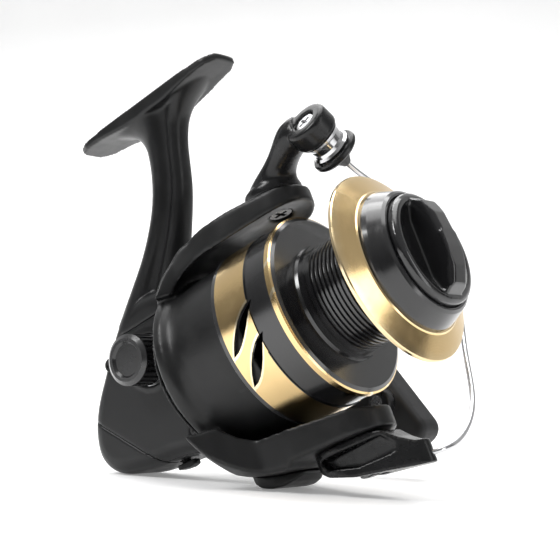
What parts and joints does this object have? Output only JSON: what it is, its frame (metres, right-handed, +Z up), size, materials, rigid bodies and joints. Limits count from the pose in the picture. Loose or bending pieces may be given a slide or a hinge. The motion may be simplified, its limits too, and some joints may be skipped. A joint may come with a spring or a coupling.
{
  "type": "fixed-spool fishing reel",
  "caption": "Front-drag spinning reel with a folding wire bail, a slotted-skirt spool, a winged drag knob, a side crank with a T-shaped grip and a rod foot.",
  "frame": {"origin": "centre of the bounding box's bottom face, with the reel resting foot up on the tail of its gear case and on the cover under the rotor's lower arm", "axes": "+X level, towards the drag knob, along the spool axis as seen from above; the spool axis itself rises 25.9 degrees towards +X; +Y towards the crank side; +Z up"},
  "size_m": [0.1327, 0.0896, 0.1224],
  "materials": {
    "moulded_black": "satin black moulded plastic with a fine grain",
    "anodised_black": "glossy black anodised aluminium; the skirt's rear band is bright gold",
    "anodised_gold": "polished gold anodised aluminium",
    "gloss_black": "glossy black moulded plastic",
    "knurled_black": "fluted black knob, half gloss",
    "soft_grip": "matt dark grip",
    "arm_alloy": "dark painted cast aluminium",
    "bright_steel": "bright turned steel",
    "polished_wire": "polished stainless wire and roller",
    "bearing_steel": "ground bearing steel",
    "gear_brass": "machined brass",
    "gear_alloy": "die-cast gear alloy",
    "bush_plastic": "pale low-friction bush",
    "felt": "oiled felt washers"
  },
  "bodies": {
    "housing": {"body_housing": "moulded_black", "side_cover": "moulded_black", "rear_cover": "moulded_black", "cover_screws": "bright_steel", "pinion_bearing": "bearing_steel", "drive_bearing_near": "bearing_steel", "drive_bearing_far": "bearing_steel", "one_way_clutch": "bearing_steel", "guide_rod": "bright_steel"},
    "stop_lever": {"anti_reverse_lever": "moulded_black"},
    "crank": {"drive_gear": "gear_alloy", "oscillation_pinion": "gear_alloy", "handle_shaft": "bright_steel", "handle_arm": "arm_alloy", "handle_cap": "knurled_black", "grip_post": "bright_steel"},
    "grip": {"handle_grip": "soft_grip", "grip_cap": "soft_grip"},
    "swing_gear": {"oscillation_gear": "gear_alloy"},
    "rotor": {"pinion_gear": "gear_brass", "clutch_sleeve": "bright_steel", "rotor": "moulded_black", "rotor_nut": "bright_steel", "arm_cover": "moulded_black", "bail_spring": "bright_steel", "bail_pivot_screws": "bright_steel"},
    "bail": {"bail_arm": "moulded_black", "bail_wire": "polished_wire", "bail_holder": "moulded_black", "roller_screw": "bright_steel", "roller_cap": "gloss_black", "roller_bush": "bush_plastic"},
    "roller": {"line_roller": "polished_wire"},
    "shaft": {"main_shaft": "bright_steel", "crosshead_slider": "gear_alloy", "drag_plates": "bright_steel", "spool_seat": "bright_steel"},
    "spool": {"spool": "anodised_black", "lip_ring": "anodised_gold", "lip_collar": "anodised_black", "click_wheel": "bright_steel", "drag_felts": "felt", "drag_clip": "bright_steel"},
    "drag_adjuster": {"drag_knob": "gloss_black", "drag_nut": "bright_steel", "drag_spring": "bright_steel"}
  },
  "joints": [
    {"name": "handle_turn", "type": "hinge", "parent": "housing", "child": "crank", "pos_m": [-0.03106, -0.01785, 0.03354], "axis": [0, 1, 0], "continuous": true},
    {"name": "grip_spin", "type": "hinge", "parent": "crank", "child": "grip", "pos_m": [0.00952, 0.03915, 0.0226], "axis": [0, 1, 0], "continuous": true},
    {"name": "swing_gear_turn", "type": "hinge", "parent": "housing", "child": "swing_gear", "pos_m": [-0.03883, -0.01785, 0.0182], "axis": [0, 1, 0], "continuous": true},
    {"name": "rotor_spin", "type": "hinge", "parent": "housing", "child": "rotor", "pos_m": [0.02825, -0.01785, 0.05084], "axis": [0.8992, 0, 0.4375], "continuous": true},
    {"name": "bail_open", "type": "hinge", "parent": "rotor", "child": "bail", "pos_m": [0.02151, -0.01785, 0.04756], "axis": [0.4375, 0, -0.8992], "range_deg": [0, 105]},
    {"name": "roller_spin", "type": "hinge", "parent": "bail", "child": "roller", "pos_m": [0.02362, -0.01885, 0.09418], "axis": [0.2695, 0.7878, -0.5538], "continuous": true},
    {"name": "spool_stroke", "type": "slide", "parent": "housing", "child": "shaft", "axis": [0.8992, 0, 0.4375], "range_m": [-0.012, 0]},
    {"name": "spool_drag", "type": "hinge", "parent": "shaft", "child": "spool", "pos_m": [0.02825, -0.01785, 0.05084], "axis": [0.8992, 0, 0.4375], "continuous": true},
    {"name": "drag_knob_turn", "type": "hinge", "parent": "shaft", "child": "drag_adjuster", "pos_m": [0.02825, -0.01785, 0.05084], "axis": [0.8992, 0, 0.4375], "continuous": true},
    {"name": "stop_lever_turn", "type": "hinge", "parent": "housing", "child": "stop_lever", "pos_m": [-0.02279, -0.01785, 0.00376], "axis": [-0.4375, 0, 0.8992], "range_deg": [0, 25]}
  ],
  "couplings": [
    {"joint": "rotor_spin", "follows": "handle_turn", "ratio": -5.2222},
    {"joint": "swing_gear_turn", "follows": "handle_turn", "ratio": -0.7}
  ]
}
